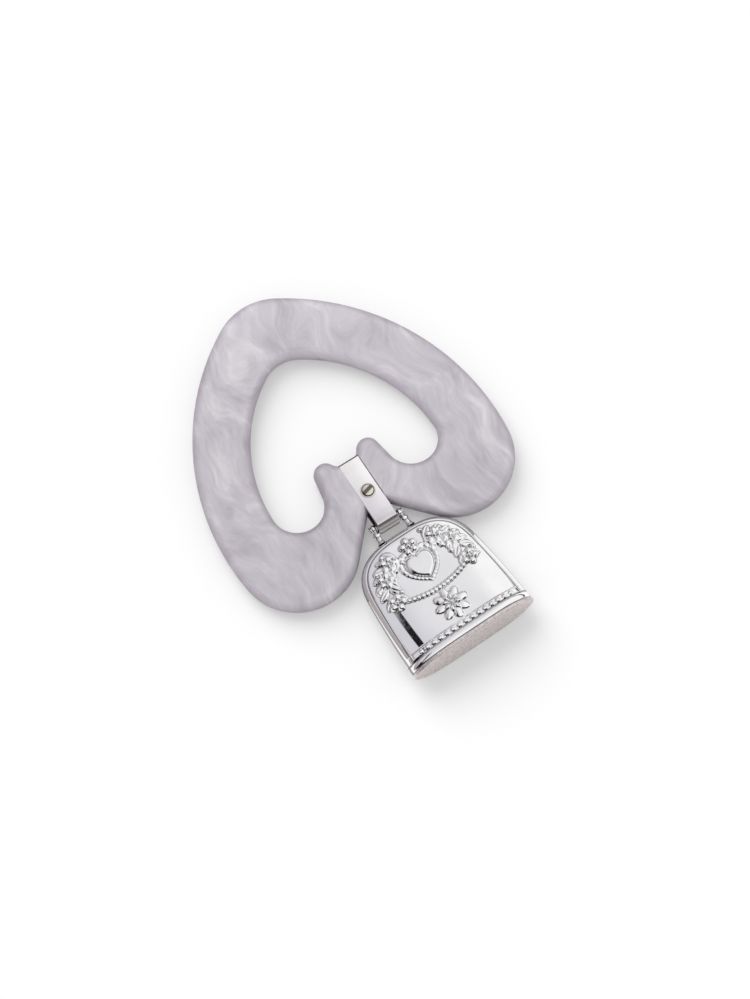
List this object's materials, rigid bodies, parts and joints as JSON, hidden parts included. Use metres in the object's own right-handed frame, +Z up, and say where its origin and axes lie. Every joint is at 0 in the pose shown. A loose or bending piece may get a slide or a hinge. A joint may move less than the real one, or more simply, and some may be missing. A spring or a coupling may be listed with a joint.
{
  "type": "baby rattle",
  "caption": "Baby rattle: flat heart-shaped pearly teething ring with a flat silver bell hinged to its cleft by a folded, screwed strap; loose pellets rattle inside the bell.",
  "frame": {"origin": "on the table, under the middle of the outline, midway between the heart's point and the bell's base", "axes": "+Y from the bell to the heart's point, +Z up out of the front faces, X across the heart"},
  "size_m": [0.065, 0.0881, 0.0094],
  "materials": {
    "pearl_acrylic": "gloss",
    "silver": "polished",
    "satin_silver": "satin",
    "steel_shot": "satin"
  },
  "bodies": {
    "handle": {"teether_ring": "pearl_acrylic", "hanger_strap": "silver", "strap_screw": "silver", "screw_barrel": "silver"},
    "pin": {"hinge_pin": "silver"},
    "bell": {"left_lug": "silver", "right_lug": "silver", "bell_front": "silver", "bell_back": "silver", "bell_base": "satin_silver"},
    "shot_1": {"pellet_1": "steel_shot"},
    "shot_2": {"pellet_2": "steel_shot"},
    "shot_3": {"pellet_3": "steel_shot"},
    "shot_4": {"pellet_4": "steel_shot"},
    "shot_5": {"pellet_5": "steel_shot"}
  },
  "joints": [
    {"name": "bell_sway", "type": "hinge", "parent": "handle", "child": "pin", "pos_m": [0, -0.01174, 0.00275], "axis": [0, 0, 1], "range_deg": [-4, 0]},
    {"name": "bell_swing", "type": "hinge", "parent": "pin", "child": "bell", "pos_m": [0, -0.01174, 0.00275], "axis": [0.9994, 0.0349, 0], "range_deg": [-104, 115]},
    {"name": "shot_slide_1", "type": "slide", "parent": "bell", "child": "shot_1", "axis": [0.0349, -0.9993, -0.0119], "range_m": [-0.013, 0.0064]},
    {"name": "shot_slide_2", "type": "slide", "parent": "bell", "child": "shot_2", "axis": [0.0349, -0.9993, -0.0119], "range_m": [-0.019, 0.0014]},
    {"name": "shot_slide_3", "type": "slide", "parent": "bell", "child": "shot_3", "axis": [0.0349, -0.9993, -0.0119], "range_m": [-0.0125, 0.0099]},
    {"name": "shot_slide_4", "type": "slide", "parent": "bell", "child": "shot_4", "axis": [0.0349, -0.9993, -0.0119], "range_m": [-0.018, 0.0034]},
    {"name": "shot_slide_5", "type": "slide", "parent": "bell", "child": "shot_5", "axis": [0.0349, -0.9993, -0.0119], "range_m": [-0.0115, 0.0079]}
  ]
}
